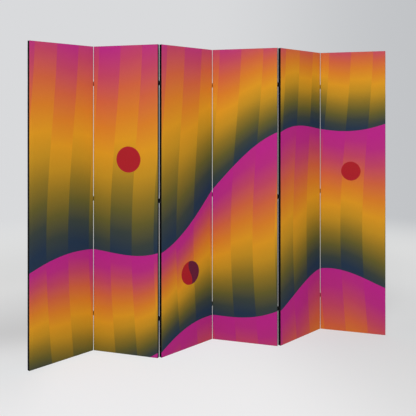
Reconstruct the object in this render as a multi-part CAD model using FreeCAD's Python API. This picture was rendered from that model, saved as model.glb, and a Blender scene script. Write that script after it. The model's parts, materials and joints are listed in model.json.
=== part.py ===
import FreeCAD, Part
import math
import os

# Folding screen of six canvas panels, standing in a zigzag on the floor.
# Panel axes: X from the panel's left edge to its right, Y from front to back with 0 at
# mid-thickness, Z up from the floor. Screen axes: X along the screen, -Y to the viewer.
# All lengths are in millimetres and all angles in degrees.

# Panels
panel_count = 6
panel_width = 400.0
panel_height = 1776.0
panel_thickness = 20.0
stand_angle = 30.0

# Canvas and tape
canvas_thickness = 0.4
canvas_turnover = 6.5
canvas_edge_radius = 0.5
tape_thickness = 0.3

# Wooden frame
stile_width = 30.0
end_rail_width = 42.0
cross_rail_width = 30.0
cross_rail_shares = (0.34, 0.66)
tenon_length = 14.0
tenon_thickness = 7.0
tenon_shoulder = 5.0
tenon_haunch = 12.0
mortise_relief = 1.0

# Hinges
hinge_height = 26.0
hinge_end_distance = 218.0
leaf_thickness = 0.7
leaf_clearance = 0.2
leaf_reach = 16.4
pin_radius = 0.7
pin_clearance = 0.05
knuckle_wall = 0.7
knuckle_clearance = 0.1
knuckle_count = 3
knuckle_end_clearance = 0.2
knuckle_side_clearance = 0.3
barrel_sides = 12

# Hinge screws
screw_end_distance = 6.5
screw_length = 13.0
screw_head_radius = 2.2
screw_neck_radius = 1.1
screw_tip_radius = 0.7
screw_clearance = 0.05
screw_sides = 6

# One overrun serves all cuts that pass a surface
overrun = 2.0

# Sizes that follow from the ones above
half_thickness = panel_thickness / 2
frame_inset = tape_thickness + canvas_thickness
frame_half = half_thickness - canvas_thickness
tape_half = half_thickness - canvas_edge_radius
hinge_gap = 2 * leaf_thickness + leaf_clearance
knuckle_radius = pin_radius + pin_clearance + knuckle_wall
pivot_offset = tape_half + math.sqrt((knuckle_radius + knuckle_clearance) ** 2 - (hinge_gap / 2) ** 2)
knuckle_pitch = hinge_height / knuckle_count
bore_radius = (pin_radius + pin_clearance) / math.cos(math.pi / barrel_sides)
hinge_heights = (hinge_end_distance, panel_height / 2, panel_height - hinge_end_distance)

X_AXIS = FreeCAD.Vector(1, 0, 0)
Y_AXIS = FreeCAD.Vector(0, 1, 0)
Z_AXIS = FreeCAD.Vector(0, 0, 1)
ZERO = FreeCAD.Vector(0, 0, 0)


def block(low, high):
    """A box between two opposite corners."""
    return Part.makeBox(high[0] - low[0], high[1] - low[1], high[2] - low[2], FreeCAD.Vector(*low))


def mirrored(shape, normal):
    """The shape mirrored in the plane through the origin with this normal."""
    return shape.mirror(ZERO, normal)


# Panels, each piece in the panel's own axes


def stretched_canvas():
    """The front canvas: a flat face with its edges turned over the frame on four sides."""
    face_y = -half_thickness
    rim_y = face_y + canvas_turnover
    outer = block(
        (tape_thickness, face_y, tape_thickness),
        (panel_width - tape_thickness, rim_y, panel_height - tape_thickness),
    )
    edges = [edge for edge in outer.Edges if edge.BoundBox.YMax < face_y + canvas_edge_radius]
    rounded = outer.makeFillet(canvas_edge_radius, edges)
    inner = block(
        (frame_inset, face_y + canvas_thickness, frame_inset),
        (panel_width - frame_inset, rim_y + overrun, panel_height - frame_inset),
    )
    return rounded.cut(inner)


def rail_spans():
    """Low edge, high edge, and the low and high shoulder of the tenons of each rail."""
    floor_side = frame_inset
    top_side = panel_height - frame_inset
    spans = [
        (floor_side, floor_side + end_rail_width, tenon_haunch, tenon_shoulder),
        (top_side - end_rail_width, top_side, tenon_shoulder, tenon_haunch),
    ]
    for share in cross_rail_shares:
        low = share * panel_height - cross_rail_width / 2
        spans.append((low, low + cross_rail_width, tenon_shoulder, tenon_shoulder))
    return spans


def tenon_bar(span, reach):
    """The bar whose ends are a rail's two tenons, each reaching this far into its stile."""
    low, high, low_shoulder, high_shoulder = span
    inner_x = frame_inset + stile_width
    return block(
        (inner_x - reach, -tenon_thickness / 2, low + low_shoulder),
        (panel_width - inner_x + reach, tenon_thickness / 2, high - high_shoulder),
    )


def stiles():
    """The two uprights of the frame, with a mortise for each rail."""
    uprights = []
    for left_x in (frame_inset, panel_width - frame_inset - stile_width):
        upright = block(
            (left_x, -frame_half, frame_inset),
            (left_x + stile_width, frame_half, panel_height - frame_inset),
        )
        for span in rail_spans():
            upright = upright.cut(tenon_bar(span, tenon_length + mortise_relief))
        uprights.append(upright)
    return Part.makeCompound(uprights)


def rails():
    """The four rails of the frame, with a tenon at each end."""
    bars = []
    inner_x = frame_inset + stile_width
    for span in rail_spans():
        body = block((inner_x, -frame_half, span[0]), (panel_width - inner_x, frame_half, span[1]))
        bars.append(body.fuse(tenon_bar(span, tenon_length)).removeSplitter())
    return Part.makeCompound(bars)


def edge_tape():
    """Four strips that cover the turned-over canvas: left, right, bottom and top."""
    strips = []
    for left_x in (0, panel_width - tape_thickness):
        strips.append(block((left_x, -tape_half, 0), (left_x + tape_thickness, tape_half, panel_height)))
    for low_z in (0, panel_height - tape_thickness):
        low = (tape_thickness, -tape_half, low_z)
        high = (panel_width - tape_thickness, tape_half, low_z + tape_thickness)
        strips.append(block(low, high))
    return Part.makeCompound(strips)


# Hinges, each piece in the hinge's own axes: the pin along Z through the origin, the leaf of the
# left panel on the -X side, the panels' thickness towards +Y, and Z = 0 at mid-height


def polygon(centre, first, second, radius, sides):
    """A closed regular polygon about a centre, in the plane of two directions."""
    points = []
    for corner in range(sides + 1):
        angle = 2 * math.pi * corner / sides
        points.append(centre + first * (radius * math.cos(angle)) + second * (radius * math.sin(angle)))
    return Part.makePolygon(points)


def barrel(radius, low_z, high_z):
    """A barrel about the pin's axis, many-sided so that fifteen hinges stay light."""
    section = Part.Face(polygon(FreeCAD.Vector(0, 0, low_z), X_AXIS, Y_AXIS, radius, barrel_sides))
    return section.extrude(Z_AXIS * (high_z - low_z))


def knuckle_span(index, growth):
    """Low and high end of a knuckle's place, with its inner ends moved outwards by growth."""
    low = -hinge_height / 2 + index * knuckle_pitch
    high = low + knuckle_pitch
    if index > 0:
        low -= growth
    if index < knuckle_count - 1:
        high += growth
    return low, high


def screw_places():
    """The head centres of the two screws of a left leaf, on the leaf's outer face."""
    face_x = -hinge_gap / 2 + leaf_thickness
    height = hinge_height / 2 - screw_end_distance
    return [FreeCAD.Vector(face_x, pivot_offset, side * height) for side in (-1, 1)]


def screw_section(centre, depth, radius):
    """A screw's six-sided section at this depth below its head centre."""
    return polygon(centre - X_AXIS * depth, Y_AXIS, Z_AXIS, radius, screw_sides)


def screw(centre):
    """A countersunk wood screw, its head flush with the leaf, six-sided so that sixty stay light."""
    sections = [
        screw_section(centre, 0, screw_head_radius),
        screw_section(centre, leaf_thickness, screw_neck_radius),
        screw_section(centre, screw_length, screw_tip_radius),
    ]
    return Part.makeLoft(sections, True, True)


def countersink(centre):
    """The countersunk hole in the leaf for one screw."""
    sections = [
        screw_section(centre, 0, screw_head_radius + screw_clearance),
        screw_section(centre, leaf_thickness, screw_neck_radius + screw_clearance),
    ]
    return Part.makeLoft(sections, True, True)


def leaf(own_knuckles):
    """A left leaf: a plate curled into the knuckles that it owns, bored for the pin."""
    seat_x = -hinge_gap / 2
    face_x = seat_x + leaf_thickness
    notch_y = knuckle_radius + knuckle_side_clearance
    half_height = hinge_height / 2
    shape = block((seat_x, 0, -half_height), (face_x, leaf_reach, half_height))
    for index in range(knuckle_count):
        if index in own_knuckles:
            low, high = knuckle_span(index, -knuckle_end_clearance / 2)
            shape = shape.fuse(barrel(knuckle_radius, low, high))
        else:
            low, high = knuckle_span(index, knuckle_end_clearance / 2)
            notch = block((seat_x - overrun, -overrun, low), (face_x + overrun, notch_y, high))
            shape = shape.cut(notch)
    shape = shape.cut(barrel(bore_radius, -half_height, half_height))
    for centre in screw_places():
        shape = shape.cut(countersink(centre))
    return shape.removeSplitter()


def hinge_pieces():
    """The pieces of one hinge by name, in the hinge's axes."""
    outer_knuckles = range(0, knuckle_count, 2)
    inner_knuckles = range(1, knuckle_count, 2)
    screws = Part.makeCompound([screw(centre) for centre in screw_places()])
    return {
        "left_leaves": leaf(outer_knuckles),
        "right_leaves": mirrored(leaf(inner_knuckles), X_AXIS),
        "pins": barrel(pin_radius, -hinge_height / 2, hinge_height / 2),
        "left_screws": screws,
        "right_screws": mirrored(screws, X_AXIS),
    }


# The screen: panels and pins placed from left to right


def panel_angle(index):
    """A panel's turn about Z from the screen's long axis, back to the right on even indices."""
    return stand_angle if index % 2 == 0 else -stand_angle


def pivot_side(fold):
    """The face that a fold's pins stand at: -1 for the front, +1 for the back."""
    return -1 if fold % 2 == 0 else 1


def turned(vector, angle):
    """The vector turned about Z."""
    return FreeCAD.Rotation(Z_AXIS, angle).multVec(vector)


def panel_places():
    """Place of each panel's left edge, with each pivot shared by the two panels beside it."""
    places = [FreeCAD.Vector(0, 0, 0)]
    pivots = []
    for fold in range(panel_count - 1):
        side_y = pivot_side(fold) * pivot_offset
        right_pivot = FreeCAD.Vector(panel_width + hinge_gap / 2, side_y, 0)
        left_pivot = FreeCAD.Vector(-hinge_gap / 2, side_y, 0)
        pivot = places[fold] + turned(right_pivot, panel_angle(fold))
        pivots.append(pivot)
        places.append(pivot - turned(left_pivot, panel_angle(fold + 1)))
    return places, pivots


def placed(shape, place, angle):
    """A copy of the shape, turned about Z and moved to its place."""
    copy = shape.copy()
    copy.Placement = FreeCAD.Placement(place, FreeCAD.Rotation(Z_AXIS, angle))
    return copy


def fold_pieces(fold, places, pieces):
    """One fold's hinge pieces at all three heights, in the screen's axes."""
    pivot_back = pivot_side(fold) > 0
    left_pin = FreeCAD.Vector(panel_width + hinge_gap / 2, pivot_side(fold) * pivot_offset, 0)
    right_pin = FreeCAD.Vector(-hinge_gap / 2, pivot_side(fold) * pivot_offset, 0)
    result = {}
    for name, shape in pieces.items():
        own_shape = mirrored(shape, Y_AXIS) if pivot_back else shape
        on_right = name.startswith("right")
        panel = fold + 1 if on_right else fold
        pin = right_pin if on_right else left_pin
        copies = []
        for height in hinge_heights:
            local = own_shape.copy()
            local.translate(pin + Z_AXIS * height)
            copies.append(local)
        result[name] = placed(Part.makeCompound(copies), places[panel], panel_angle(panel))
    return result


def screen():
    """Every node of the screen by name, and the pivots, before the screen is centred."""
    front = stretched_canvas()
    panel_pieces = {
        "stiles": stiles(),
        "rails": rails(),
        "front_canvas": front,
        "back_canvas": mirrored(front, Y_AXIS),
        "edge_tape": edge_tape(),
    }
    places, pivots = panel_places()
    nodes = {}
    for index in range(panel_count):
        for name, shape in panel_pieces.items():
            nodes[f"panel_{index + 1}_{name}"] = placed(shape, places[index], panel_angle(index))
    hinge = hinge_pieces()
    for fold in range(panel_count - 1):
        for name, shape in fold_pieces(fold, places, hinge).items():
            nodes[f"fold_{fold + 1}_{fold + 2}_{name}"] = shape
    return nodes, pivots


def main():
    """Builds the screen, centres it over the origin and writes one file per node."""
    os.makedirs("parts", exist_ok=True)
    nodes, pivots = screen()
    box = Part.makeCompound(list(nodes.values())).optimalBoundingBox()
    centre = FreeCAD.Vector((box.XMin + box.XMax) / 2, (box.YMin + box.YMax) / 2, 0)
    for name, shape in nodes.items():
        shape.translate(-centre)
        shape.exportStep(f"parts/{name}.step")
    for fold, pivot in enumerate(pivots):
        place = pivot - centre
        print(f"fold {fold + 1}-{fold + 2} pivot: x {place.x:.6f} mm, y {place.y:.6f} mm")
    print(f"size: {box.XLength:.3f} by {box.YLength:.3f} by {box.ZLength:.3f} mm")


main()
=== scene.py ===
"""A six-panel canvas folding screen, dressed around its packed construction.

The frame gives the panels' places, pivots and bodies. Every piece here is built in a panel's or a
hinge's own axes and moved to its place in its mesh, so each object stays at the origin.
"""

import json
import logging
import math
from dataclasses import dataclass, field
from enum import Enum

import bmesh
import bpy
from bmesh.types import BMEdge, BMesh, BMFace, BMVert
from bpy.types import ColorRamp, Material, NodeSocket, Object, World
from mathutils import Matrix, Vector


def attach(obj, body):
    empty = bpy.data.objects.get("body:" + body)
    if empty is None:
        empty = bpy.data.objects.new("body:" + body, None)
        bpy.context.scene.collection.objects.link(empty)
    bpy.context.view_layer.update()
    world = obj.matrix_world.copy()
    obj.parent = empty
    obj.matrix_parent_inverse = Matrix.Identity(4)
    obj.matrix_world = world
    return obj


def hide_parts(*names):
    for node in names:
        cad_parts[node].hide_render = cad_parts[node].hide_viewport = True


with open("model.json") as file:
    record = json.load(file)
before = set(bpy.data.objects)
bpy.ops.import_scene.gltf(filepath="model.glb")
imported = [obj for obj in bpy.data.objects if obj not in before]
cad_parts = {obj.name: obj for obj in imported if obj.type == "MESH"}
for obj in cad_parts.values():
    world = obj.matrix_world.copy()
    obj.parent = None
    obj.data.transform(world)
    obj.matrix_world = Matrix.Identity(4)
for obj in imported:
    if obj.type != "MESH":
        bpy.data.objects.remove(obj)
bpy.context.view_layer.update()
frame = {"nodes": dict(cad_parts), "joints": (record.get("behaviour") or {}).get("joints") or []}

log = logging.getLogger("folding_screen")

MM = 0.001
WELD = 0.01 * MM
UP = Vector((0, 0, 1))
Triple = tuple[float, float, float]
Colour = Triple
Span = tuple[float, float]


def srgb(red: int, green: int, blue: int) -> Colour:
    """Turns a colour read as 0 to 255 into the linear values that shaders use.

    Args:
        red: Red channel, 0 to 255.
        green: Green channel, 0 to 255.
        blue: Blue channel, 0 to 255.

    Returns:
        The three linear channels.
    """
    def linear(channel: float) -> float:
        """One channel, 0 to 1, through the sRGB curve."""
        return channel / 12.92 if channel <= 0.04045 else ((channel + 0.055) / 1.055) ** 2.4

    return tuple(linear(channel / 255) for channel in (red, green, blue))


def eased(share: float) -> float:
    """A soft rise from 0 to 1 while a share goes from 0 to 1, and level beyond."""
    held = max(0.0, min(1.0, share))
    return held * held * (3 - 2 * held)


# Shader expressions


class Term:
    """A shader socket that takes part in Python arithmetic."""

    def __init__(self, shader: "Shader", socket: NodeSocket | None) -> None:
        """Wraps one output socket of a shader; a node that ends a tree has none."""
        self.shader = shader
        self.socket = socket

    def _with(self, operation: str, *values: "Term | float") -> "Term":
        """Adds a Math node of this operation on the values."""
        return self.shader.node("ShaderNodeMath", {"operation": operation}, dict(enumerate(values)))

    def __add__(self, other: "Term | float") -> "Term":
        """Sum."""
        return self._with("ADD", self, other)

    __radd__ = __add__

    def __sub__(self, other: "Term | float") -> "Term":
        """Difference."""
        return self._with("SUBTRACT", self, other)

    def __rsub__(self, other: float) -> "Term":
        """Difference from a number."""
        return self._with("SUBTRACT", other, self)

    def __mul__(self, other: "Term | float") -> "Term":
        """Product."""
        return self._with("MULTIPLY", self, other)

    __rmul__ = __mul__

    def __truediv__(self, other: "Term | float") -> "Term":
        """Quotient."""
        return self._with("DIVIDE", self, other)

    def __pow__(self, other: "Term | float") -> "Term":
        """Power."""
        return self._with("POWER", self, other)

    def __gt__(self, other: "Term | float") -> "Term":
        """One where this is greater, else zero."""
        return self._with("GREATER_THAN", self, other)

    def __lt__(self, other: "Term | float") -> "Term":
        """One where this is less, else zero."""
        return self._with("LESS_THAN", self, other)

    def __abs__(self) -> "Term":
        """Size without sign."""
        return self._with("ABSOLUTE", self)

    def sin(self) -> "Term":
        """Sine, in radians."""
        return self._with("SINE", self)

    def cos(self) -> "Term":
        """Cosine, in radians."""
        return self._with("COSINE", self)

    def root(self) -> "Term":
        """Square root."""
        return self._with("SQRT", self)

    def ripple(self) -> "Term":
        """Sine, in radians, brought between 0 and 1."""
        return self.sin() * 0.5 + 0.5

    def between(self, low: float, high: float) -> "Term":
        """A value of 0 to 1 spread from the low number to the high one."""
        return self * (high - low) + low

    def clamped(self) -> "Term":
        """The value held between 0 and 1."""
        return self.shader.node("ShaderNodeClamp", {}, {"Value": self})

    def rise(self, low: float, high: float) -> "Term":
        """A smooth step from 0 at the low value to 1 at the high one."""
        inputs = {"Value": self, "From Min": low, "From Max": high}
        return self.shader.node("ShaderNodeMapRange", {"interpolation_type": "SMOOTHSTEP"}, inputs)


Value = Term | float | Triple

# The sockets of a Mix node that hold its two colours and their mix
FIRST_COLOUR = 6
SECOND_COLOUR = 7
MIXED_COLOUR = 2


class Shader:
    """A material or a world whose nodes are made one expression at a time."""

    def __init__(self, name: str = "", world: World | None = None) -> None:
        """Starts an empty material, or empties a world.

        Args:
            name: The material's name.
            world: The world to fill in place of a new material.
        """
        self.material = world or bpy.data.materials.new(name)
        self.material.use_nodes = True
        self.tree = self.material.node_tree
        self.tree.nodes.clear()

    def node(
        self,
        kind: str,
        settings: dict[str, object] | None = None,
        inputs: dict[str | int, Value] | None = None,
        output: str | int = 0,
    ) -> Term:
        """Adds a node, sets it up, and fills its sockets.

        Args:
            kind: The node's type.
            settings: Its own properties, set first; stops fills a colour ramp.
            inputs: A value or a link for each named or numbered socket.
            output: The socket that the result wraps.

        Returns:
            The chosen output, ready for arithmetic.
        """
        made = self.tree.nodes.new(kind)
        for key, value in (settings or {}).items():
            if key == "stops":
                self._fill_ramp(made.color_ramp, value)
            else:
                setattr(made, key, value)
        for key, value in (inputs or {}).items():
            self._feed(made.inputs[key], value)
        return Term(self, made.outputs[output] if made.outputs else None)

    def _feed(self, socket: NodeSocket, value: Value) -> None:
        """Links a term to a socket, or sets the socket's own value.

        Args:
            socket: The input to fill.
            value: What goes in; a colour is given full alpha.
        """
        if isinstance(value, Term):
            self.tree.links.new(value.socket, socket)
        elif socket.type == "RGBA":
            socket.default_value = (*value, 1.0)
        else:
            socket.default_value = value

    @staticmethod
    def _fill_ramp(ramp: ColorRamp, stops: tuple[tuple[float, Colour], ...]) -> None:
        """Sets a colour ramp's stops.

        Args:
            ramp: The ramp.
            stops: The place, 0 to 1, and the colour of each stop, in order.
        """
        while len(ramp.elements) < len(stops):
            ramp.elements.new(1.0)
        for element, (place, colour) in zip(ramp.elements, stops):
            element.position = place
            element.color = (*colour, 1.0)

    def pattern_place(self) -> tuple[Term, Term]:
        """Both directions of the piece's own UV map, in metres along its surface."""
        uv = self.node("ShaderNodeTexCoord", output="UV")
        return self.axis(uv, 0), self.axis(uv, 1)

    def object_place(self) -> Term:
        """The place in the screen's own axes."""
        return self.node("ShaderNodeTexCoord", output="Object")

    def seen(self) -> Term:
        """One on rays that reach the camera direct, off gloss or through glass."""
        rays = ("Is Camera Ray", "Is Glossy Ray", "Is Transmission Ray")
        return sum(self.node("ShaderNodeLightPath", output=ray) for ray in rays).clamped()

    def axis(self, vector: Term, axis: int) -> Term:
        """One axis of a vector, 0 for X to 2 for Z."""
        return self.node("ShaderNodeSeparateXYZ", {}, {0: vector}, axis)

    def vector(self, x: Value, y: Value, z: Value = 0.0) -> Term:
        """A vector from three values."""
        return self.node("ShaderNodeCombineXYZ", {}, {0: x, 1: y, 2: z})

    def noise(self, place: Term, detail: float, waves: float = 1.0) -> Term:
        """Soft noise from 0 to 1, with this many waves to each unit of the place."""
        return self.node("ShaderNodeTexNoise", {}, {"Vector": place, "Scale": waves, "Detail": detail})

    def blend(self, amount: Value, first: Value, second: Value, how: str = "MIX") -> Term:
        """Mixes two colours.

        Args:
            amount: 0 for the first colour, 1 for the second.
            first: A colour or a colour term.
            second: A colour or a colour term.
            how: The mix's blend type.

        Returns:
            The mixed colour.
        """
        settings = {"data_type": "RGBA", "blend_type": how}
        inputs = {"Factor": amount, FIRST_COLOUR: first, SECOND_COLOUR: second}
        return self.node("ShaderNodeMix", settings, inputs, MIXED_COLOUR)

    def bump(self, height: Term, depth: float) -> Term:
        """A surface normal from a height of 0 to 1 that stands this deep, in metres."""
        return self.node("ShaderNodeBump", {}, {"Height": height, "Strength": 1.0, "Distance": depth})

    def surface(self, inputs: dict[str, Value]) -> Material:
        """Ends the material in one Principled surface.

        Args:
            inputs: A value or a link for each of the surface's sockets.

        Returns:
            The finished material.
        """
        body = self.node("ShaderNodeBsdfPrincipled", {}, inputs)
        self.node("ShaderNodeOutputMaterial", {}, {"Surface": body})
        return self.material


# Finishes


class Side(Enum):
    """The side of a panel, by its sign along the panel's Y axis."""

    FRONT = -1
    BACK = 1


@dataclass(frozen=True)
class Wave:
    """One sine of a band's edge, across the opened screen."""

    length: float
    height: float
    start: float

    def over(self, place: Term) -> Term:
        """The wave's height at a place across the screen."""
        return (place * (math.tau / self.length) + self.start).sin() * self.height


@dataclass(frozen=True)
class Disc:
    """A plain round spot of the print, in metres across and up the opened screen."""

    across: float
    up: float
    radius: float
    shaded: bool


@dataclass(frozen=True)
class BandPrint:
    """Canvas printed with flowing bands that fade from magenta through ochre to navy.

    The levels and the edges' waves draw the bands' borders, from the top down. Slubs are the
    cloth's thick threads, given in waves to the metre over and along a thread.
    """

    side: Side
    levels: tuple[float, ...]
    edges: tuple[tuple[Wave, ...], ...]
    discs: tuple[Disc, ...]
    fade: tuple[tuple[float, Colour], ...] = (
        (0.00, srgb(181, 33, 132)),
        (0.09, srgb(179, 40, 125)),
        (0.20, srgb(188, 66, 96)),
        (0.31, srgb(203, 96, 60)),
        (0.42, srgb(212, 124, 36)),
        (0.53, srgb(216, 149, 28)),
        (0.63, srgb(190, 140, 29)),
        (0.73, srgb(141, 114, 32)),
        (0.82, srgb(96, 90, 39)),
        (0.91, srgb(54, 63, 58)),
        (1.00, srgb(31, 50, 73)),
    )
    ribbon: float = 0.135
    ribbon_step: float = 0.06
    ribbon_blur: float = 0.03
    sway: float = 0.035
    sway_length: float = 2.6
    drift_length: float = 0.93
    drift_step: float = 0.025
    red: Colour = srgb(168, 28, 38)
    shaded_red: Colour = srgb(98, 26, 54)
    shade_bends: float = 34.0
    shade_lean: float = 0.22
    thread: float = 0.85 * MM
    thread_rise: float = 0.7
    slub_over: float = 900.0
    slub_along: float = 26.0
    slub_detail: float = 3.0
    slub_rise: float = 0.6
    weave_depth: float = 0.09 * MM
    ink: Span = (0.89, 1.11)
    roughness: Span = (0.62, 0.87)
    specular: float = 0.14

    def _print(self, shader: Shader, across: Term, up: Term) -> Term:
        """The printed colour at a place on the opened screen.

        Args:
            shader: The shader that takes the nodes.
            across: The place from the screen's left end.
            up: The place above the floor.

        Returns:
            The colour.
        """
        sway = (up * (math.tau / self.sway_length)).sin() * self.sway
        stripes = ((across + sway) * (math.pi / self.ribbon)).sin()
        ribbon = stripes.rise(-self.ribbon_blur, self.ribbon_blur) * self.ribbon_step
        drift = (across * (math.tau / self.drift_length) + up).sin() * self.drift_step
        place = self._through_bands(across, up) + ribbon + drift - self.ribbon_step / 2
        colour = shader.node("ShaderNodeValToRGB", {"stops": self.fade}, {"Fac": place.clamped()})
        for disc in self.discs:
            colour = self._disc(shader, disc, across, up, colour)
        return colour

    def _through_bands(self, across: Term, up: Term) -> Term:
        """How far a place lies through its own band.

        Args:
            across: The place from the screen's left end.
            up: The place above the floor.

        Returns:
            0 at the band's upper edge to 1 at its lower one.
        """
        lines = [
            sum((wave.over(across) for wave in waves), level)
            for level, waves in zip(self.levels, self.edges)
        ]
        place = (lines[0] - up) / (lines[0] - lines[1])
        for upper, lower in zip(lines[1:], lines[2:]):
            below = up < upper
            place = place + below * ((upper - up) / (upper - lower) - place)
        return place

    def _disc(self, shader: Shader, disc: Disc, across: Term, up: Term, under: Term) -> Term:
        """Lays one red disc over the print.

        Args:
            shader: The shader that takes the nodes.
            disc: The disc.
            across: The place from the screen's left end.
            up: The place above the floor.
            under: The print's colour without the disc.

        Returns:
            The colour with it.
        """
        x = across - disc.across
        y = up - disc.up
        red: Value = self.red
        if disc.shaded:
            lean = (y * self.shade_bends).sin() * (disc.radius * self.shade_lean)
            red = shader.blend(x + lean > 0, red, self.shaded_red)
        return shader.blend((x * x + y * y).root() < disc.radius, under, red)

    def _weave(self, across: Term, up: Term) -> Term:
        """How high the woven threads stand.

        Args:
            across: The place over the upright threads.
            up: The place over the level threads.

        Returns:
            0 between the threads to 1 on top of one.
        """
        turn = math.pi / self.thread
        warp = abs((across * turn).cos())
        weft = abs((up * turn).cos())
        crossing = (across * turn).sin() * (up * turn).sin() > 0
        return warp * crossing + weft * (1 - crossing)

    def material(self) -> Material:
        """Makes the canvas material.

        Returns:
            The finished material.
        """
        shader = Shader(f"printed_canvas_{self.side.name.lower()}")
        across, up = shader.pattern_place()
        warp = shader.vector(across * self.slub_over, up * self.slub_along)
        weft = shader.vector(across * self.slub_along, up * self.slub_over)
        detail = self.slub_detail
        cloth = (shader.noise(warp, detail) + shader.noise(weft, detail)) / 2
        ink = cloth.between(*self.ink)
        ink = shader.vector(ink, ink, ink)
        height = self._weave(across, up) * self.thread_rise + cloth * self.slub_rise
        return shader.surface({
            "Base Color": shader.blend(1.0, self._print(shader, across, up), ink, "MULTIPLY"),
            "Roughness": cloth.between(*self.roughness),
            "Specular IOR Level": self.specular,
            "Normal": shader.bump(height, self.weave_depth),
        })


@dataclass(frozen=True)
class WovenTape:
    """Matt black herringbone tape with a little fluff, given in waves to the metre, and painted
    shading that lightens the ribs' crests.
    """

    rib: float = 1.1 * MM
    rib_depth: float = 0.07 * MM
    rib_shading: float = 0.5
    rib_rise: float = 0.8
    chevron: float = 6.6 * MM
    slant: float = 3.0
    fluff_along: float = 60.0
    fluff_over: float = 300.0
    fluff_detail: float = 4.0
    fluff_rise: float = 0.4
    deep: float = 0.45
    contrast: float = 0.7
    black: Colour = srgb(3, 5, 9)
    grey: Colour = srgb(26, 29, 34)
    roughness: Span = (0.75, 0.95)
    specular: float = 0.08

    def material(self) -> Material:
        """Makes the tape material.

        Returns:
            The finished material.
        """
        shader = Shader("woven_black_tape")
        along, over = shader.pattern_place()
        slant = abs(over * (math.tau / self.chevron)).sin() * self.slant
        ribs = (along * (math.tau / self.rib) + slant).ripple()
        drawn = shader.vector(along * self.fluff_along, over * self.fluff_over)
        fluff = shader.noise(drawn, self.fluff_detail)
        # Painted shading: rib crests lighter and grooves darker, added to the fluff's lighter fibres
        tone = (ribs * self.rib_shading + fluff - self.deep).clamped() * self.contrast
        return shader.surface({
            "Base Color": shader.blend(tone, self.black, self.grey),
            "Roughness": fluff.between(*self.roughness),
            "Specular IOR Level": self.specular,
            "Normal": shader.bump(ribs * self.rib_rise + fluff * self.fluff_rise, self.rib_depth),
        })


@dataclass(frozen=True)
class BlackSteel:
    """Satin black steel, rubbed to bare metal in small patches."""

    name: str
    roughness: float = 0.42
    rubbed: float = 0.2
    unevenness: float = 0.18
    skin_waves: float = 900.0
    skin_detail: float = 3.0
    skin_depth: float = 0.02 * MM
    wear_waves: float = 260.0
    wear_detail: float = 4.0
    worn: Span = (0.66, 0.74)
    black: Colour = srgb(16, 18, 22)
    bare: Colour = srgb(120, 118, 114)
    specular: float = 0.45

    def material(self) -> Material:
        """Makes the steel's material.

        Returns:
            The finished material.
        """
        shader = Shader(self.name)
        place = shader.object_place()
        skin = shader.noise(place, self.skin_detail, self.skin_waves)
        wear = shader.noise(place, self.wear_detail, self.wear_waves)
        wear = wear.rise(*self.worn) * self.rubbed
        return shader.surface({
            "Base Color": shader.blend(wear, self.black, self.bare),
            "Metallic": wear,
            "Roughness": (skin - 0.5) * self.unevenness + self.roughness,
            "Specular IOR Level": self.specular,
            "Normal": shader.bump(skin, self.skin_depth),
        })


@dataclass(frozen=True)
class PlanedPine:
    """Bare planed pine, with its waves to the metre along the screen's three axes."""

    name: str
    waves: Triple
    rings: float = 42.0
    ring_detail: float = 2.0
    ring_power: float = 2.2
    ring_tone: float = 0.55
    ring_rise: float = 0.4
    pore_waves: float = 9.0
    pore_detail: float = 5.0
    pore_start: float = 0.5
    pore_tone: float = 0.7
    pore_rise: float = 0.6
    early: Colour = srgb(214, 178, 128)
    late: Colour = srgb(176, 128, 78)
    pore: Colour = srgb(138, 96, 58)
    roughness: Span = (0.5, 0.7)
    grain_depth: float = 0.1 * MM

    def material(self) -> Material:
        """Makes the pine material.

        Returns:
            The finished material.
        """
        shader = Shader(self.name)
        place = {"Vector": shader.object_place(), "Scale": self.waves}
        drawn = shader.node("ShaderNodeMapping", {}, place)
        rings = (shader.noise(drawn, self.ring_detail) * self.rings).ripple()
        pores = shader.noise(drawn, self.pore_detail, self.pore_waves)
        dark = (pores - self.pore_start).clamped() * self.pore_tone
        colour = shader.blend(rings ** self.ring_power * self.ring_tone, self.early, self.late)
        colour = shader.blend(dark, colour, self.pore)
        height = rings * self.ring_rise + pores * self.pore_rise
        return shader.surface({
            "Base Color": colour,
            "Roughness": pores.between(*self.roughness),
            "Normal": shader.bump(height, self.grain_depth),
        })


# Meshes


def block(work: BMesh, low: Vector, high: Vector) -> list[BMVert]:
    """Adds a box between two opposite corners.

    Args:
        work: The mesh in progress.
        low: The lowest corner.
        high: The highest corner.

    Returns:
        The box's corners.
    """
    verts = bmesh.ops.create_cube(work, size=1.0)["verts"]
    bmesh.ops.scale(work, vec=high - low, verts=verts)
    bmesh.ops.translate(work, vec=(low + high) / 2, verts=verts)
    return verts


def round_off(work: BMesh, edges: list[BMEdge], radius: float, segments: int) -> None:
    """Rounds some edges of a mesh.

    Args:
        work: The mesh in progress.
        edges: The edges to round.
        radius: How far from each edge the rounding starts.
        segments: How many faces it has.
    """
    bmesh.ops.bevel(
        work, geom=edges, offset=radius, segments=segments, profile=0.5, affect="EDGES", material=-1
    )


def sharp_edges(work: BMesh) -> list[BMEdge]:
    """The edges at which a closed mesh turns by more than 45 degrees."""
    return [edge for edge in work.edges if edge.calc_face_angle() > math.pi / 4]


def turned(outline: list[tuple[float, float]], sides: int) -> BMesh:
    """Turns an outline about the X axis.

    Args:
        outline: Pairs of place along X and radius, from axis to axis.
        sides: How many steps make the full turn.

    Returns:
        The closed round solid.
    """
    work = bmesh.new()
    verts = [work.verts.new((x, radius, 0)) for x, radius in outline]
    edges = [work.edges.new(pair) for pair in zip(verts, verts[1:])]
    bmesh.ops.spin(
        work, geom=verts + edges, cent=(0, 0, 0), axis=(1, 0, 0), dvec=(0, 0, 0),
        angle=math.tau, steps=sides, use_merge=True, use_duplicate=False,
    )
    bmesh.ops.remove_doubles(work, verts=work.verts, dist=WELD)
    bmesh.ops.recalc_face_normals(work, faces=work.faces)
    return work


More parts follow.
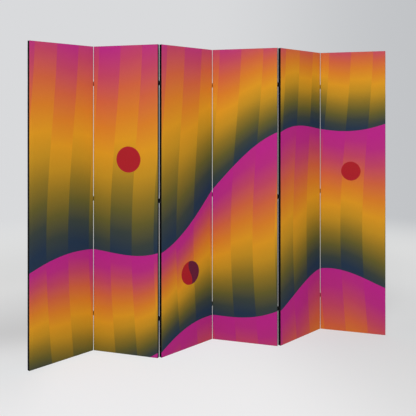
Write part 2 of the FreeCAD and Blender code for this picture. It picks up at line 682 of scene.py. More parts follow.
def push_on(work: BMesh, face: BMFace) -> BMFace:
    """Grows a swept mesh by one step from its end face, and gives the new end face."""
    return bmesh.ops.extrude_discrete_faces(work, faces=[face])["faces"][0]


def closed(work: BMesh) -> BMesh:
    """Closes the open start of a swept mesh and turns its faces outwards.

    Args:
        work: The mesh in progress.

    Returns:
        The same mesh.
    """
    bmesh.ops.holes_fill(work, edges=work.edges)
    bmesh.ops.recalc_face_normals(work, faces=work.faces)
    return work


def carve(solid: BMesh, cutter: BMesh) -> BMesh:
    """Cuts one closed mesh out of another.

    Args:
        solid: The mesh that stays, freed here.
        cutter: The mesh that is taken away, freed here.

    Returns:
        A new mesh of what is left.
    """
    objects = []
    for label, work in (("carve_solid", solid), ("carve_cutter", cutter)):
        bmesh.ops.recalc_face_normals(work, faces=work.faces)
        mesh = bpy.data.meshes.new(label)
        work.to_mesh(mesh)
        work.free()
        thing = bpy.data.objects.new(label, mesh)
        bpy.context.scene.collection.objects.link(thing)
        objects.append(thing)
    body, knife = objects
    cut = body.modifiers.new("cut", "BOOLEAN")
    cut.operation = "DIFFERENCE"
    cut.solver = "EXACT"
    cut.object = knife
    bpy.context.view_layer.update()
    evaluated = body.evaluated_get(bpy.context.evaluated_depsgraph_get())
    meshes = [bpy.data.meshes.new_from_object(evaluated), body.data, knife.data]
    result = bmesh.new()
    result.from_mesh(meshes[0])
    for thing in objects:
        bpy.data.objects.remove(thing)
    for mesh in meshes:
        bpy.data.meshes.remove(mesh)
    return result


def copies(template: BMesh, places: list[Matrix]) -> BMesh:
    """Lays copies of a mesh at several places.

    Args:
        template: The mesh to copy; it is kept.
        places: One transform for each copy.

    Returns:
        One mesh of all the copies.
    """
    result = bmesh.new()
    mesh = bpy.data.meshes.new("template")
    template.to_mesh(mesh)
    for place in places:
        before = len(result.verts)
        result.from_mesh(mesh)
        result.verts.ensure_lookup_table()
        bmesh.ops.transform(result, matrix=place, verts=result.verts[before:])
    bpy.data.meshes.remove(mesh)
    bmesh.ops.recalc_face_normals(result, faces=result.faces)
    return result


def join(work: BMesh, part: BMesh) -> None:
    """Adds one mesh to another and frees the added one.

    Args:
        work: The mesh that grows.
        part: The mesh that is added.
    """
    mesh = bpy.data.meshes.new("joined")
    part.to_mesh(mesh)
    part.free()
    work.from_mesh(mesh)
    bpy.data.meshes.remove(mesh)


def publish(name: str, work: BMesh, material: Material, sharp: float = 40.0) -> Object:
    """Ends a mesh as an object at the origin.

    Args:
        name: The piece's name.
        work: The mesh in progress, freed here.
        material: Its finish.
        sharp: Edges that turn more than this many degrees stay sharp.

    Returns:
        The new object.
    """
    mesh = bpy.data.meshes.new(name)
    work.to_mesh(mesh)
    work.free()
    mesh.materials.append(material)
    mesh.shade_smooth()
    mesh.set_sharp_from_angle(angle=math.radians(sharp))
    piece = bpy.data.objects.new(name, mesh)
    bpy.context.scene.collection.objects.link(piece)
    return piece


def hand_over(piece: Object, body: str, node: str) -> None:
    """Rides a finished piece on its body in a construction node's place, and reports it.

    Args:
        piece: The finished piece.
        body: The body that it moves with.
        node: The construction node that it replaces.
    """
    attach(piece, body)
    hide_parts(node)
    log.info("%s on %s", piece.name, body)


# The screen's sizes and panels


@dataclass(frozen=True)
class ScreenSizes:
    """The sizes that every piece of the screen shares, in metres and degrees."""

    panels: int = 6
    width: float = 400 * MM
    height: float = 1776 * MM
    thickness: float = 20 * MM
    fold_angle: float = 30.0
    canvas: float = 0.4 * MM
    turnover: float = 6.5 * MM
    edge_radius: float = 0.5 * MM
    tape: float = 0.3 * MM
    hinge_gap: float = 1.6 * MM
    knuckle: float = 1.45 * MM
    knuckle_clearance: float = 0.1 * MM
    hinge_end: float = 218 * MM
    stile: float = 30 * MM
    end_rail: float = 42 * MM
    cross_rail: float = 30 * MM
    cross_shares: tuple[float, ...] = (0.34, 0.66)

    @property
    def half(self) -> float:
        """Half a panel's thickness."""
        return self.thickness / 2

    @property
    def tape_half(self) -> float:
        """Half the width of the tape, between the canvases' rounded edges."""
        return self.half - self.edge_radius

    @property
    def pin_offset(self) -> float:
        """A pin's distance from mid-thickness, which keeps its knuckles clear of the tape."""
        clear = self.knuckle + self.knuckle_clearance
        return self.tape_half + math.sqrt(clear ** 2 - (self.hinge_gap / 2) ** 2)

    @property
    def hinge_heights(self) -> Triple:
        """The middle heights of the three hinges of a fold."""
        return self.hinge_end, self.height / 2, self.height - self.hinge_end

    @property
    def bays(self) -> list[Span]:
        """The lowest and highest place of each opening between a frame's rails.

        Returns:
            One pair of heights for each opening, from the floor up.
        """
        middles = [share * self.height for share in self.cross_shares]
        lows = [self.end_rail] + [middle + self.cross_rail / 2 for middle in middles]
        highs = [middle - self.cross_rail / 2 for middle in middles] + [self.height - self.end_rail]
        return list(zip(lows, highs))


@dataclass
class Layout:
    """Where each panel and pin stands, from the frame's joints. Panels and folds count from 0."""

    sizes: ScreenSizes
    pivots: list[Vector] = field(init=False)

    def __post_init__(self) -> None:
        """Reads the pivots from left to right."""
        places = {joint["name"]: joint["pos_m"] for joint in frame["joints"]}
        names = [f"fold_{fold}_{fold + 1}" for fold in range(1, self.sizes.panels)]
        self.pivots = [Vector((*places[name][:2], 0)) for name in names]

    def pin_side(self, fold: int) -> float:
        """The face that a fold's pins stand at, as a sign along the panels' Y axes."""
        return -1.0 if fold % 2 == 0 else 1.0

    def pin(self, fold: int, on_right: bool) -> Vector:
        """Finds a fold's pins in a neighbouring panel's own axes.

        Args:
            fold: The fold's number.
            on_right: Whether the panel is the one on the fold's right.

        Returns:
            The foot of the line through the pins.
        """
        half_gap = self.sizes.hinge_gap / 2
        across = -half_gap if on_right else self.sizes.width + half_gap
        return Vector((across, self.pin_side(fold) * self.sizes.pin_offset, 0))

    def panel(self, index: int) -> Matrix:
        """Places a panel by the pins of the fold beside it.

        Args:
            index: The panel's number.

        Returns:
            The transform from the panel's own axes to the screen's.
        """
        degrees = self.sizes.fold_angle * (1 if index % 2 == 0 else -1)
        turn = Matrix.Rotation(math.radians(degrees), 4, "Z")
        last = index == self.sizes.panels - 1
        fold = index - 1 if last else index
        return Matrix.Translation(self.pivots[fold] - turn @ self.pin(fold, last)) @ turn


@dataclass
class StretchedCanvas:
    """One canvas: a blank of cloth drawn over a face of the frame and turned over its edges."""

    sizes: ScreenSizes
    columns: int = 20
    rows: int = 84
    arc_steps: int = 4
    flange_steps: int = 2
    hollow: float = 0.45 * MM
    easing: float = 45 * MM

    @property
    def halves(self) -> tuple[float, float]:
        """Half the width and half the height of the drawn canvas."""
        return self.sizes.width / 2 - self.sizes.tape, self.sizes.height / 2 - self.sizes.tape

    @property
    def arc(self) -> float:
        """The length of cloth round one of the frame's edges."""
        return self.sizes.edge_radius * math.pi / 2

    def _beyond(self, half: float) -> float:
        """How far the cloth reaches from its middle, laid flat."""
        radius = self.sizes.edge_radius
        return half - radius + self.arc + self.sizes.turnover - radius

    def flat_size(self) -> tuple[float, float]:
        """Width and length of the blank that the canvas is cut to."""
        half_width, half_height = self.halves
        return 2 * self._beyond(half_width), 2 * self._beyond(half_height)

    def _stations(self, half: float, cells: int) -> list[float]:
        """Spaces the cloth's grid lines, closer at the turned edges.

        Args:
            half: Half the drawn canvas, across the lines.
            cells: How many cells the flat middle has.

        Returns:
            Each line's distance from the cloth's middle, in order.
        """
        bend = half - self.sizes.edge_radius
        flange = self.sizes.turnover - self.sizes.edge_radius
        side = [bend + self.arc * step / self.arc_steps for step in range(1, self.arc_steps + 1)]
        side += [bend + self.arc + flange * step / self.flange_steps
                 for step in range(1, self.flange_steps + 1)]
        middle = [bend * (2 * cell / cells - 1) for cell in range(cells + 1)]
        return [-value for value in reversed(side)] + middle + side

    def _folded(self, along: float, half: float) -> tuple[float, float]:
        """Bends one direction of the flat cloth round the frame's edges.

        Args:
            along: A point's distance from the cloth's middle, laid flat.
            half: Half the drawn canvas in this direction.

        Returns:
            The point's distance from the panel's middle, and its depth below the face.
        """
        radius = self.sizes.edge_radius
        bend = half - radius
        past = abs(along) - bend
        if past <= 0:
            return along, 0.0
        if past <= self.arc:
            angle = past / radius
            out = bend + radius * math.sin(angle)
            return math.copysign(out, along), radius * (1 - math.cos(angle))
        return math.copysign(half, along), radius + past - self.arc

    def _bay_depth(self, x: float, z: float) -> float:
        """Finds how far the cloth lies back between the frame's bars.

        Args:
            x: A point's place from the panel's left edge.
            z: Its place above the panel's foot.

        Returns:
            The depth below the bars' faces.
        """
        room_x = min(x - self.sizes.stile, self.sizes.width - self.sizes.stile - x)
        room_z = max(min(z - low, high - z) for low, high in self.sizes.bays)
        return self.hollow * eased(room_x / self.easing) * eased(room_z / self.easing)

    def build(self, index: int, side: Side) -> BMesh:
        """Folds the blank over one face of a panel.

        Args:
            index: The panel's number from 0, which places the print.
            side: The face that the canvas covers.

        Returns:
            The canvas in the panel's axes, with the flat cloth as its UV map.
        """
        half_width, half_height = self.halves
        across = self._stations(half_width, self.columns)
        up = self._stations(half_height, self.rows)
        work = bmesh.new()
        bmesh.ops.create_grid(work, x_segments=len(across) - 1, y_segments=len(up) - 1, size=1.0)
        flat = {}
        for vert in work.verts:
            column = round((vert.co.x + 1) / 2 * (len(across) - 1))
            row = round((vert.co.y + 1) / 2 * (len(up) - 1))
            flat[vert] = (across[column], up[row])
        self._map_print(work, flat, index, side)
        self._drop_corners(work, flat)
        for vert in work.verts:
            x, x_depth = self._folded(flat[vert][0], half_width)
            z, z_depth = self._folded(flat[vert][1], half_height)
            x += self.sizes.width / 2
            z += self.sizes.height / 2
            depth = max(x_depth, z_depth) + self._bay_depth(x, z)
            vert.co = Vector((x, side.value * (self.sizes.half - depth), z))
        bmesh.ops.remove_doubles(work, verts=work.verts, dist=WELD)
        self._thicken(work, side)
        return work

    def _map_print(self, work: BMesh, flat: dict[BMVert, Span], index: int, side: Side) -> None:
        """Gives each corner of the cloth its place on the opened screen.

        Args:
            work: The cloth in progress.
            flat: Each point's place from the cloth's middle, across and up.
            index: The panel's number from 0.
            side: The face that the canvas covers.
        """
        layer = work.loops.layers.uv.new("print")
        middle = (index + 0.5) * self.sizes.width
        for face in work.faces:
            for loop in face.loops:
                across, up = flat[loop.vert]
                reach = middle + across
                if side is Side.BACK:
                    reach = self.sizes.panels * self.sizes.width - reach
                loop[layer].uv = (reach, up + self.sizes.height / 2)

    def _drop_corners(self, work: BMesh, flat: dict[BMVert, Span]) -> None:
        """Cuts the four squares out of the blank's corners.

        Args:
            work: The cloth in progress.
            flat: Each point's place from the cloth's middle, across and up.
        """
        turned_at = [half - self.sizes.edge_radius + self.arc - WELD / 2 for half in self.halves]
        waste = [
            face for face in work.faces
            if all(abs(place) > limit for vert in face.verts
                   for place, limit in zip(flat[vert], turned_at))
        ]
        bmesh.ops.delete(work, geom=waste, context="FACES")

    def _thicken(self, work: BMesh, side: Side) -> None:
        """Gives the cloth its thickness towards the frame.

        Args:
            work: The cloth in progress.
            side: The face that the canvas covers.
        """
        bmesh.ops.recalc_face_normals(work, faces=work.faces)
        work.faces.ensure_lookup_table()
        centre = work.faces[len(work.faces) // 2]
        if centre.normal.y * side.value < 0:
            bmesh.ops.reverse_faces(work, faces=work.faces)
        bmesh.ops.solidify(work, geom=work.faces[:], thickness=self.sizes.canvas)
        bmesh.ops.recalc_face_normals(work, faces=work.faces)


@dataclass
class EdgeTape:
    """The four strips of black tape round a panel's end faces.

    The side strips stand off a little over the gathered cloth, and lie flat under the hinges.
    """

    sizes: ScreenSizes
    cells: int = 120
    selvedge: float = 0.1 * MM
    selvedge_steps: int = 3
    stand_off: float = 0.33 * MM
    held_flat: float = 15 * MM
    easing: float = 30 * MM

    def _strip(self, low: Vector, high: Vector, long_axis: int) -> BMesh:
        """Makes one strip with rounded selvedges and a UV map along its length.

        Args:
            low: The strip's lowest corner.
            high: The strip's highest corner.
            long_axis: The axis that the strip runs along, 0 for X or 2 for Z.

        Returns:
            The strip by itself.
        """
        piece = bmesh.new()
        block(piece, low, high)
        normal = Vector((0, 0, 0))
        normal[long_axis] = 1.0
        rims = [edge for edge in piece.edges
                if abs((edge.verts[0].co - edge.verts[1].co).dot(normal)) > WELD]
        round_off(piece, rims, self.selvedge, self.selvedge_steps)
        for cell in range(1, self.cells):
            place = low.lerp(high, cell / self.cells)
            geometry = piece.verts[:] + piece.edges[:] + piece.faces[:]
            bmesh.ops.bisect_plane(piece, geom=geometry, plane_co=place, plane_no=normal)
        layer = piece.loops.layers.uv.new("weave")
        for face in piece.faces:
            for loop in face.loops:
                loop[layer].uv = (loop.vert.co[long_axis], loop.vert.co.y)
        return piece

    def _raise(self, strip: BMesh, inner: float) -> None:
        """Thickens a side strip outwards where nothing presses it flat.

        Args:
            strip: The strip, changed here.
            inner: Where its inner face lies, along X.
        """
        held = (0.0, self.sizes.height, *self.sizes.hinge_heights)
        for vert in strip.verts:
            room = min(abs(vert.co.z - height) for height in held) - self.held_flat
            rise = self.stand_off * eased(room / self.easing)
            vert.co.x = inner + (vert.co.x - inner) * (1 + rise / self.sizes.tape)

    def build(self) -> BMesh:
        """Lays the four strips in the panel's axes.

        Returns:
            The tape, with the strips' lengths as its UV map.
        """
        work = bmesh.new()
        tape = self.sizes.tape
        half = self.sizes.tape_half
        far = self.sizes.width - tape
        for left, inner in ((0.0, tape), (far, far)):
            high = Vector((left + tape, half, self.sizes.height))
            strip = self._strip(Vector((left, -half, 0)), high, 2)
            self._raise(strip, inner)
            join(work, strip)
        for low in (0.0, self.sizes.height - tape):
            high = Vector((far, half, low + tape))
            join(work, self._strip(Vector((tape, -half, low)), high, 0))
        bmesh.ops.recalc_face_normals(work, faces=work.faces)
        return work


@dataclass
class WoodScrew:
    """A countersunk wood screw with a cross recess, along X with its head flush with X = 0."""

    head_depth: float
    head: float = 2.2 * MM
    neck: float = 1.1 * MM
    shoulder: float = 1.54 * MM
    shank: float = 0.77 * MM
    tip: float = 0.35 * MM
    length: float = 13 * MM
    recess_wing: float = 1.21 * MM
    recess_slot: float = 0.308 * MM
    recess_depth: float = 0.49 * MM
    recess_taper: float = 0.55
    thread_pitch: float = 1.1 * MM
    thread_root: float = 0.66 * MM
    thread_crest: float = 1.16 * MM
    thread_foot: float = 0.33 * MM
    thread_turns: int = 8
    fading_turns: int = 2
    fading: float = 0.97
    turn_steps: int = 12
    sides: int = 40

    def build(self) -> BMesh:
        """Turns the screw, cuts its recess and winds its thread.

        Returns:
            The screw, with its thread as a solid of its own.
        """
        body = turned([
            (-self.length, 0.0),
            (self.neck - self.length, self.tip),
            (-self.shoulder, self.shank),
            (-self.head_depth, self.neck),
            (0.0, self.head),
            (0.0, 0.0),
        ], self.sides)
        result = carve(body, self._recess())
        join(result, self._thread())
        return result

    def _recess(self) -> BMesh:
        """Makes the cross that is cut out of the head.

        Returns:
            Two crossed bars that narrow downwards.
        """
        cross = bmesh.new()
        deep = Vector((self.recess_depth, 0, 0))
        proud = Vector((self.head_depth, 0, 0))
        for y, z in ((self.recess_wing, self.recess_slot), (self.recess_slot, self.recess_wing)):
            corner = Vector((0, y, z))
            verts = block(cross, -corner - deep, corner + proud)
            low = [vert for vert in verts if vert.co.x < 0]
            bmesh.ops.scale(cross, vec=(1, self.recess_taper, self.recess_taper), verts=low)
        return cross

    def _thread(self) -> BMesh:
        """Winds a ridge down the shank and draws it in to the tip.

        Returns:
            The closed ridge.
        """
        work = bmesh.new()
        top = self.thread_turns * self.thread_pitch - self.length
        ridge = (
            (top - self.thread_foot, self.thread_root),
            (top, self.thread_crest),
            (top + self.thread_foot, self.thread_root),
        )
        face = work.faces.new([work.verts.new((x, radius, 0)) for x, radius in ridge])
        turn = Matrix.Rotation(math.tau / self.turn_steps, 3, "X")
        drop = Vector((-self.thread_pitch / self.turn_steps, 0, 0))
        steps = (self.thread_turns - 1) * self.turn_steps
        for step in range(steps):
            face = push_on(work, face)
            bmesh.ops.rotate(work, cent=(0, 0, 0), matrix=turn, verts=face.verts)
            bmesh.ops.translate(work, vec=drop, verts=face.verts)
            if step > steps - self.fading_turns * self.turn_steps:
                bmesh.ops.scale(work, vec=(1, self.fading, self.fading), verts=face.verts)
        return closed(work)


@dataclass
class ButtHinge:
    """One small pressed-steel hinge, in its own axes with the pin along Z through the origin.

    The left leaf lies on the negative X side and runs along Y, away from the pin.
    """

    sizes: ScreenSizes
    height: float = 26 * MM
    leaf: float = 0.7 * MM
    reach: float = 16.4 * MM
    pin: float = 0.7 * MM
    pin_softening: float = 0.175 * MM
    pin_steps: int = 3
    bore: float = 0.75 * MM
    barrel_gap: float = 0.2 * MM
    roll: float = 285.0
    root: float = 1.75 * MM
    root_steps: int = 6
    knuckles: int = 3
    corner: float = 1.6 * MM
    corner_steps: int = 8
    softening: float = 0.12 * MM
    softening_steps: int = 2
    screw_end: float = 6.5 * MM
    play: float = 0.06 * MM
    sides: int = 40

    @property
    def seat(self) -> float:
        """The panel's end face, along X from the pin."""
        return -self.sizes.hinge_gap / 2

    @property
    def open_face(self) -> float:
        """The leaf's open face, along X from the pin."""
        return self.seat + self.leaf

    @property
    def screw(self) -> WoodScrew:
        """The screw that holds the leaf."""
        return WoodScrew(self.leaf)

    def _screw_places(self) -> list[Matrix]:
        """Places a left leaf's two screws with their heads flush.

        Returns:
            One transform for each screw.
        """
        middle = self.sizes.pin_offset
        height = self.height / 2 - self.screw_end
        return [Matrix.Translation((self.open_face, middle, side * height)) for side in (-1, 1)]

    def leaf_mesh(self, first: int) -> BMesh:
        """Makes a left leaf that owns every other knuckle, from the first one given.

        Args:
            first: 0 for the outer knuckles, 1 for the inner one.

        Returns:
            The leaf with its countersunk holes.
        """
        half = self.height / 2
        plate = bmesh.new()
        low = Vector((self.seat, self.root, -half))
        block(plate, low, Vector((self.open_face, self.reach, half)))
        corners = [edge for edge in plate.edges if self._is_far_corner(edge)]
        round_off(plate, corners, self.corner, self.corner_steps)
        round_off(plate, sharp_edges(plate), self.softening, self.softening_steps)
        result = carve(plate, self._holes())
        pitch = self.height / self.knuckles
        for index in range(first, self.knuckles, 2):
            foot = index * pitch - half
            low_gap = self.barrel_gap / 2 if index else 0.0
            top_gap = self.barrel_gap / 2 if index < self.knuckles - 1 else 0.0
            join(result, self._knuckle(foot + low_gap, foot + pitch - top_gap))
        return result

    def _is_far_corner(self, edge: BMEdge) -> bool:
        """Tells whether an edge of the plate is one of the two corners far from the pin.

        Args:
            edge: The edge.

        Returns:
            Whether it is one of them.
        """
        start, end = (vert.co for vert in edge.verts)
        through = abs(start.x - end.x) > self.leaf / 2
        return through and min(start.y, end.y) > self.reach - self.softening

    def _holes(self) -> BMesh:
        """Makes what the drill takes out of a leaf for its two screws.

        Returns:
            The two countersunk holes, filled.
        """
        wide = self.screw.head + self.play
        narrow = self.screw.neck + self.play
        drill = turned([
            (-2 * self.leaf, 0.0),
            (-2 * self.leaf, narrow),
            (-self.leaf, narrow),
            (0.0, wide),
            (self.leaf, wide),
            (self.leaf, 0.0),
        ], self.sides)
        holes = copies(drill, self._screw_places())
        drill.free()
        return holes

    def _knuckle(self, low: float, high: float) -> BMesh:
        """Bends the leaf's edge out of its plane and rolls it round the pin.

        Args:
            low: The knuckle's lower end.
            high: Its upper end.

        Returns:
            The knuckle with a short root that lies in the leaf.
        """
        work = bmesh.new()
        start = self.root + self.leaf
        places = (
            (self.seat, start, low),
            (self.open_face, start, low),
            (self.open_face, start, high),
            (self.seat, start, high),
        )
        face = work.faces.new([work.verts.new(place) for place in places])
        for step in range(self.root_steps + 1):
            share = step / self.root_steps
            face = push_on(work, face)
            middle = face.calc_center_median().x
            for vert in face.verts:
                flat, rolled = ((self.seat, -self.sizes.knuckle) if vert.co.x < middle
                                else (self.open_face, -self.bore))
                vert.co.x = flat + (rolled - flat) * eased(share)
                vert.co.y = self.root * (1 - share)
        turn = Matrix.Rotation(math.radians(self.roll / self.sides), 3, "Z")
        for _ in range(self.sides):
            face = push_on(work, face)
            bmesh.ops.rotate(work, cent=(0, 0, 0), matrix=turn, verts=face.verts)
        return closed(work)

    def pin_mesh(self) -> BMesh:
        """Makes the pin, with softened ends.

        Returns:
            The pin.
        """
        work = bmesh.new()
        bmesh.ops.create_cone(
            work, cap_ends=True, segments=self.sides, radius1=self.pin, radius2=self.pin,
            depth=self.height,
        )
        round_off(work, sharp_edges(work), self.pin_softening, self.pin_steps)
        return work

    def screws(self) -> BMesh:
        """Makes both screws of a left leaf.

        Returns:
            The two screws in their places.
        """
        template = self.screw.build()
        result = copies(template, self._screw_places())
        template.free()
        return result


# Sub-assemblies


@dataclass
class PanelPieces:
    """The cloth and tape of all six panels."""

    layout: Layout
    front: Material
    back: Material
    tape: Material

    def build(self) -> None:
        """Builds, dresses and hands over each panel's canvases and tape."""
        sizes = self.layout.sizes
        maker = StretchedCanvas(sizes)
        width, length = maker.flat_size()
        for index in range(sizes.panels):
            body = f"panel_{index + 1}"
            place = self.layout.panel(index)
            for side, material in ((Side.FRONT, self.front), (Side.BACK, self.back)):
                label = side.name.lower()
                work = maker.build(index, side)
                work.transform(place)
                cloth = publish(f"canvas_{label}_{index + 1}", work, material)
                hand_over(cloth, body, f"{body}_{label}_canvas")
            work = EdgeTape(sizes).build()
            work.transform(place)
            strips = publish(f"tape_{index + 1}", work, self.tape)
            hand_over(strips, body, f"{body}_edge_tape")


@dataclass
class HingePieces:
    """The leaves, pins and screws of all five folds."""

    layout: Layout
    leaf_steel: Material
    pin_steel: Material
    screw_steel: Material
    sharp: float = 30.0

    def build(self) -> None:
        """Builds, dresses and hands over each fold's hinges."""
        hinge = ButtHinge(self.layout.sizes)
        outer = hinge.leaf_mesh(0)
        inner = hinge.leaf_mesh(1)
        pin = hinge.pin_mesh()
        screws = hinge.screws()
        pieces = (
            ("left_leaves", outer, self.leaf_steel, "hinge_steel"),
            ("right_leaves", inner, self.leaf_steel, "hinge_steel"),
            ("pins", pin, self.pin_steel, "pin_steel"),
            ("left_screws", screws, self.screw_steel, "screw_steel"),
            ("right_screws", screws, self.screw_steel, "screw_steel"),
        )
        for fold in range(self.layout.sizes.panels - 1):
            for label, template, material, slot in pieces:
                on_right = label.startswith("right")
                work = copies(template, self._places(fold, on_right))
                piece = publish(f"{label}_{fold + 1}_{fold + 2}", work, material, self.sharp)
                body = f"panel_{fold + 2 if on_right else fold + 1}"
                hand_over(piece, body, f"fold_{fold + 1}_{fold + 2}_{label}")
        for template in (outer, inner, pin, screws):
            template.free()

    def _places(self, fold: int, on_right: bool) -> list[Matrix]:
        """Places a fold's three hinges, mirrored to suit the side and the face.

        Args:
            fold: The fold's number from 0.
            on_right: Whether the pieces ride on the fold's right panel.

        Returns:
            One transform for each hinge.
        """
        pin = self.layout.pin(fold, on_right)
        panel = self.layout.panel(fold + 1 if on_right else fold)
        flip_x = -1.0 if on_right else 1.0
        mirror = Matrix.Diagonal((flip_x, -self.layout.pin_side(fold), 1.0, 1.0))
        return [
            panel @ Matrix.Translation(pin + UP * height) @ mirror
            for height in self.layout.sizes.hinge_heights
        ]


@dataclass
class FramePieces:
    """The wooden frames, which keep their own meshes and take a finish."""

    panels: int
    stiles: Material
    rails: Material

    def dress(self) -> None:
        """Gives every stile and rail its pine."""
        for index in range(1, self.panels + 1):
            for label, material in (("stiles", self.stiles), ("rails", self.rails)):
                node = frame["nodes"][f"panel_{index}_{label}"]
                node.data.materials.clear()
                node.data.materials.append(material)
                log.info("%s dressed in %s", node.name, material.name)


# Studio


@dataclass(frozen=True)
class Surround:
    """What stands far round the screen: a pale tone with painted shade that darkens it to the viewer's
    right.
    """

    yaw: float
    left: Colour = srgb(217, 218, 220)
    right: Colour = srgb(194, 196, 199)
    change: Span = (-0.02, 0.34)

    def tone(self, shader: Shader, direction: Term) -> Term:
        """Gives the surround's colour in a direction.

        Args:
            shader: The shader that takes the nodes.
            direction: The direction, of unit length.

        Returns:
            The colour.
        """
        right = Matrix.Rotation(-math.radians(self.yaw), 3, "Z") @ Vector((1, 0, 0))
        inputs = {0: direction, 1: tuple(right)}
        dot = shader.node("ShaderNodeVectorMath", {"operation": "DOT_PRODUCT"}, inputs, "Value")
        return shader.blend(dot.rise(*self.change), self.left, self.right)


@dataclass(frozen=True)
class PaleFloor:
    """Pale paper whose painted glow, not the light on it, gives most of what the camera sees.

    A pair says where a change starts and ends, in metres from the screen's middle. The shade's
    middle and its reach are pairs across and back.
    """

    eye: Triple
    surround: Surround
    paper: Colour = srgb(236, 236, 236)
    # Painted light: the middle is brighter than the sides and the floor behind, and tinted cool
    # against the screen's warm bounce
    middle: Colour = srgb(251, 253, 255)
    sides: Colour = srgb(228, 230, 231)
    behind: Colour = srgb(230, 231, 231)
    middle_x: float = -0.3
    to_sides: Span = (0.4, 1.9)
    to_behind: Span = (0.2, 1.8)
    to_surround: Span = (2.9, 5.2)
    painted_light_share: float = 0.64
    to_full_painted_light: Span = (2.0, 5.0)
    # Painted shade on the floor's tone, over the real shadow that the paper keeps
    screen_shade: float = 0.28
    shade_middle: Span = (-0.2, 0.5)
    shade_reach: Span = (1.5, 0.75)
    shade_fade: Span = (0.45, 1.6)
    shade_start: Span = (0.0, 0.55)
    right_shade: float = 0.12
    right_x: Span = (-0.1, 0.8)
    right_end: Span = (-0.1, 0.5)
    left_shade: float = 0.11
    left_x: Span = (-1.15, -0.9)
    left_start: Span = (-0.75, 0.1)
    left_end: Span = (0.3, 1.0)

    def _painted_shade(self, x: Term, y: Term) -> Term:
        """Paints soft shade into the floor's tone behind the screen and to its sides.

        Args:
            x: The place to the right of the screen's middle.
            y: The place behind it.

        Returns:
            0 where the tone stays to 1 where it would be black.
        """
        across = (x - self.shade_middle[0]) / self.shade_reach[0]
        back = (y - self.shade_middle[1]) / self.shade_reach[1]
        near = 1 - (across * across + back * back).root().rise(*self.shade_fade)
        right = x.rise(*self.right_x) * (1 - y.rise(*self.right_end))
        left = (1 - x.rise(*self.left_x)) * y.rise(*self.left_start) * (1 - y.rise(*self.left_end))
        sides = right * self.right_shade + left * self.left_shade
        return near * y.rise(*self.shade_start) * self.screen_shade + sides

    def _tone(self, shader: Shader, x: Term, y: Term, away: Term, direction: Term) -> Term:
        """Gives the floor's painted tone, which runs into the surround: painted light and shade, not
        the paper's colour.

        Args:
            shader: The shader that takes the nodes.
            x: The place to the right of the screen's middle.
            y: The place behind it.
            away: The distance from it.
            direction: The direction from below the eye.

        Returns:
            The colour.
        """
        tone = shader.blend(abs(x - self.middle_x).rise(*self.to_sides), self.middle, self.sides)
        tone = shader.blend(y.rise(*self.to_behind), tone, self.behind)
        far = self.surround.tone(shader, direction)
        tone = shader.blend(away.rise(*self.to_surround), tone, far)
        return shader.blend(self._painted_shade(x, y), tone, (0.0, 0.0, 0.0))

    def material(self) -> Material:
        """Makes the floor's material.

        Returns:
            The finished material.
        """
        shader = Shader("pale_floor")
        place = shader.object_place()
        x = shader.axis(place, 0)
        y = shader.axis(place, 1)
        away = (x * x + y * y).root()
        ends = {0: place, 1: (self.eye[0], self.eye[1], 0.0)}
        offset = shader.node("ShaderNodeVectorMath", {"operation": "SUBTRACT"}, ends)
        direction = shader.node("ShaderNodeVectorMath", {"operation": "NORMALIZE"}, {0: offset})
        tone = self._tone(shader, x, y, away, direction)
        paper = shader.node("ShaderNodeBsdfDiffuse", {}, {"Color": self.paper})
        # The camera sees mostly this painted glow, which stands in for the lamps' light on the paper
        painted_glow = shader.node("ShaderNodeEmission", {}, {"Color": tone})
        share = shader.seen() * away.rise(*self.to_full_painted_light).between(self.painted_light_share, 1.0)
        mixed = shader.node("ShaderNodeMixShader", {}, {0: share, 1: paper, 2: painted_glow})
        shader.node("ShaderNodeOutputMaterial", {}, {"Surface": mixed})
        return shader.material


@dataclass(frozen=True)
class SoftLamp:
    """One square lamp that faces the screen's middle and stays out of sight."""

    name: str
    place: Triple
    power: float
    size: float = 3.0
    aim_height: float = 0.8

    def hang(self) -> Object:
        """Adds the lamp to the scene.

        Returns:
            The lamp.
        """
        data = bpy.data.lights.new(self.name, "AREA")
        data.size = self.size
        data.energy = self.power
        lamp = bpy.data.objects.new(self.name, data)
        ahead = UP * self.aim_height - Vector(self.place)
        aim = ahead.to_track_quat("-Z", "Y").to_matrix().to_4x4()
        lamp.matrix_world = Matrix.Translation(self.place) @ aim
        lamp.visible_camera = False
        bpy.context.scene.collection.objects.link(lamp)
        return lamp


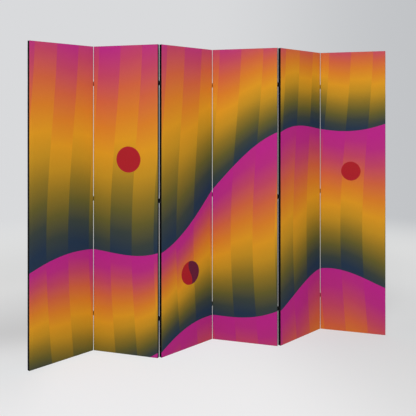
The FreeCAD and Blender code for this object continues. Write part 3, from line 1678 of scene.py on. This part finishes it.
@dataclass(frozen=True)
class Studio:
    """A pale floor that runs into a pale surround, soft lamps and the camera that took the view."""

    eye: Triple = (-0.8739, -3.3496, 1.3701)
    yaw: float = 13.818
    lens: float = 50.0
    sensor: float = 36.0
    horizon_drop: float = 92.03 / 416
    floor_size: float = 240.0
    sky: float = 0.45
    key: SoftLamp = SoftLamp("key", place=(-2.0, -6.2, 4.3), power=243.0)
    fill: SoftLamp = SoftLamp("fill", place=(2.2, -6.1, 4.3), power=45.0)
    back: SoftLamp = SoftLamp("back", place=(0.4, 6.4, 4.3), power=230.0)

    def camera(self) -> None:
        """Sets up the camera, level, with its frame dropped below the horizon."""
        data = bpy.data.cameras.new("camera")
        data.lens = self.lens
        data.sensor_width = self.sensor
        data.shift_y = -self.horizon_drop
        data.clip_end = self.floor_size
        camera = bpy.data.objects.new("camera", data)
        turn = Matrix.Rotation(-math.radians(self.yaw), 4, "Z")
        level = Matrix.Rotation(math.pi / 2, 4, "X")
        camera.matrix_world = Matrix.Translation(self.eye) @ turn @ level
        bpy.context.scene.collection.objects.link(camera)
        bpy.context.scene.camera = camera

    def floor(self, surround: Surround) -> Object:
        """Lays one wide floor.

        Args:
            surround: What the floor runs into.

        Returns:
            The floor.
        """
        work = bmesh.new()
        bmesh.ops.create_grid(work, x_segments=1, y_segments=1, size=self.floor_size / 2)
        sheet = publish("floor", work, PaleFloor(self.eye, surround).material())
        return sheet

    def world(self, surround: Surround) -> None:
        """Sets an even sky for the light and the surround for the eye.

        Args:
            surround: What the camera sees beyond the floor.
        """
        world = bpy.data.worlds.new("studio")
        shader = Shader(world=world)
        tone = surround.tone(shader, shader.node("ShaderNodeTexCoord", output="Generated"))
        view = shader.node("ShaderNodeBackground", {}, {"Color": tone})
        even = {"Color": (1.0, 1.0, 1.0), "Strength": self.sky}
        light = shader.node("ShaderNodeBackground", {}, even)
        mixed = shader.node("ShaderNodeMixShader", {}, {0: shader.seen(), 1: light, 2: view})
        shader.node("ShaderNodeOutputWorld", {}, {"Surface": mixed})
        bpy.context.scene.world = world

    def lamps(self, floor: Object) -> None:
        """Hangs two large soft lamps in front, and one behind that leaves the floor alone.

        Args:
            floor: The floor.
        """
        self.key.hang()
        self.fill.hang()
        back = self.back.hang()
        spared = bpy.data.collections.new("spared_by_back_lamp")
        spared.objects.link(floor)
        back.light_linking.receiver_collection = spared
        spared.collection_objects[0].light_linking.link_state = "EXCLUDE"

    def build(self) -> None:
        """Builds the camera, the floor, the surround and the lamps."""
        surround = Surround(self.yaw)
        self.camera()
        floor = self.floor(surround)
        self.world(surround)
        self.lamps(floor)


def front_print() -> BandPrint:
    """Lays out the front's bands and discs: one long crest that climbs to the right.

    Returns:
        The front's print.
    """
    quarter = math.pi / 2
    return BandPrint(
        side=Side.FRONT,
        levels=(1.95, 0.93, 0.10, -0.75),
        edges=(
            (),
            (
                Wave(length=4.8, height=0.47, start=-quarter),
                Wave(length=1.35, height=0.11, start=0.6),
            ),
            (
                Wave(length=4.4, height=0.24, start=-quarter),
                Wave(length=1.05, height=0.06, start=2.0),
            ),
            (),
        ),
        discs=(
            Disc(across=0.62, up=1.12, radius=0.075, shaded=False),
            Disc(across=1.02, up=0.44, radius=0.070, shaded=True),
            Disc(across=2.19, up=1.02, radius=0.060, shaded=False),
        ),
    )


def back_print() -> BandPrint:
    """Lays out the back's bands, calmer and without discs.

    Returns:
        The back's print.
    """
    quarter = math.pi / 2
    return BandPrint(
        side=Side.BACK,
        levels=(1.98, 1.02, 0.16, -0.80),
        edges=(
            (),
            (
                Wave(length=4.9, height=0.34, start=quarter),
                Wave(length=1.50, height=0.08, start=1.6),
            ),
            (
                Wave(length=4.3, height=0.18, start=quarter),
                Wave(length=1.15, height=0.05, start=0.4),
            ),
            (),
        ),
        discs=(),
    )


def main() -> None:
    """Builds the whole scene round the frame."""
    logging.basicConfig(level=logging.INFO, format="%(name)s: %(message)s")
    bpy.context.scene.view_settings.view_transform = "Standard"
    layout = Layout(ScreenSizes())
    Studio().build()
    PanelPieces(
        layout,
        front=front_print().material(),
        back=back_print().material(),
        tape=WovenTape().material(),
    ).build()
    HingePieces(
        layout,
        leaf_steel=BlackSteel("leaf_lacquer").material(),
        pin_steel=BlackSteel("pin_lacquer", roughness=0.36, rubbed=0.5).material(),
        screw_steel=BlackSteel("screw_phosphate", roughness=0.5, rubbed=0.35).material(),
    ).build()
    FramePieces(
        layout.sizes.panels,
        stiles=PlanedPine("pine_upright", waves=(38.0, 38.0, 2.2)).material(),
        rails=PlanedPine("pine_level", waves=(2.2, 2.2, 46.0)).material(),
    ).dress()


if __name__ == "__main__":
    main()
